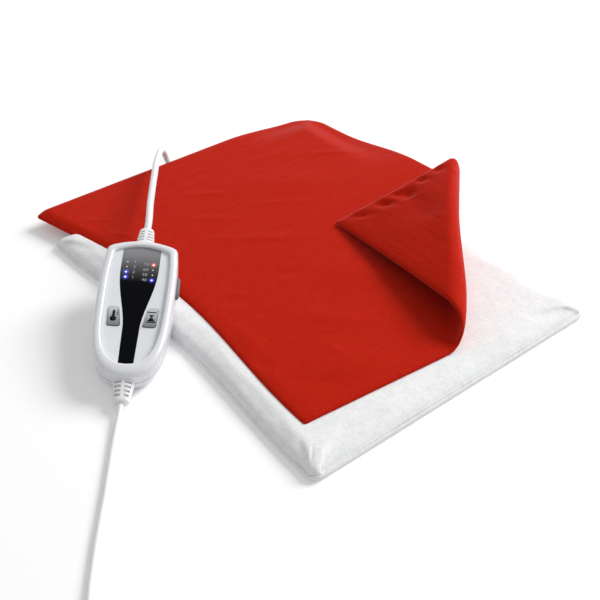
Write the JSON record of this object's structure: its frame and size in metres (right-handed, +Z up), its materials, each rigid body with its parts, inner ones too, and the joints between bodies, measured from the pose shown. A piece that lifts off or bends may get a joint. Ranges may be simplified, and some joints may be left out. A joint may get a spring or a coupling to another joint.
{
  "type": "heating pad with controller",
  "caption": "Electric heating pad of soft felt with a loose cotton cover turned back at one corner, and a wired handset with push buttons, a side switch and indicator lamps.",
  "frame": {"origin": "centre of the felt pad's flat underside, on the surface it lies on", "axes": "+Z up out of the pad, +X along the pad's short side towards the turned-back corner, +Y along its long side towards the lead's gland"},
  "size_m": [0.609, 0.6168, 0.0636],
  "materials": {
    "white_felt": "soft needled felt",
    "red_cotton": "smooth woven cotton with a slight sheen",
    "white_case": "glossy moulded plastic",
    "silver_face": "satin silver paint",
    "black_window": "glossy",
    "grey_button": "satin silver paint",
    "dark_switch": "fine matt",
    "white_pvc": "satin soft plastic",
    "green_board": "solder mask",
    "component_black": "matt",
    "heating_wire": "satin insulation",
    "fuse_glass": "clear",
    "steel": "bright plated",
    "blue_lamp": "lit light pipe",
    "red_lamp": "lit light pipe",
    "clear_lamp": "unlit light pipe"
  },
  "bodies": {
    "pad_and_handset": {"pad_bottom_felt": "white_felt", "pad_top_felt": "white_felt", "heater_carrier": "white_felt", "heating_wire": "heating_wire", "thermal_cutout": "component_black", "pad_lead_gland": "white_case", "handset_bottom_case": "white_case", "handset_top_case": "white_case", "face_panel": "silver_face", "display_window": "black_window", "time_led_1": "blue_lamp", "time_led_2": "blue_lamp", "time_led_3": "clear_lamp", "time_led_4": "clear_lamp", "temperature_led_1": "blue_lamp", "temperature_led_2": "clear_lamp", "temperature_led_3": "clear_lamp", "temperature_led_4": "red_lamp", "slide_switch_body": "component_black", "circuit_board": "green_board", "temperature_tact_switch": "component_black", "time_tact_switch": "component_black", "microcontroller": "component_black", "triac": "component_black", "film_capacitor": "component_black", "fuse": "fuse_glass", "case_screw_1": "steel", "case_screw_2": "steel", "case_screw_3": "steel", "case_screw_4": "steel", "pad_side_strain_relief": "white_pvc", "mains_side_strain_relief": "white_pvc", "pad_lead": "white_pvc", "mains_lead_run": "white_pvc", "mains_lead_coil": "white_pvc", "cord_tie": "component_black", "plug_body": "white_pvc", "plug_pin_1": "steel", "plug_pin_2": "steel"},
    "loose_cover": {"cover": "red_cotton"},
    "temperature_key": {"temperature_button": "grey_button"},
    "time_key": {"time_button": "grey_button"},
    "power_switch": {"power_switch_knob": "dark_switch"}
  },
  "joints": [
    {"name": "cover_pull", "type": "slide", "parent": "pad_and_handset", "child": "loose_cover", "axis": [1, 0, 0], "range_m": [0, 0.35]},
    {"name": "temperature_press", "type": "slide", "parent": "pad_and_handset", "child": "temperature_key", "axis": [0.0727, 0.2087, -0.9753], "range_m": [0, 0.0007], "stiffness_N_per_m": 1500},
    {"name": "time_press", "type": "slide", "parent": "pad_and_handset", "child": "time_key", "axis": [0.0727, 0.2087, -0.9753], "range_m": [0, 0.0007], "stiffness_N_per_m": 1500},
    {"name": "power_slide", "type": "slide", "parent": "pad_and_handset", "child": "power_switch", "axis": [0.6305, 0.7514, 0.1947], "range_m": [0, 0.004]}
  ]
}
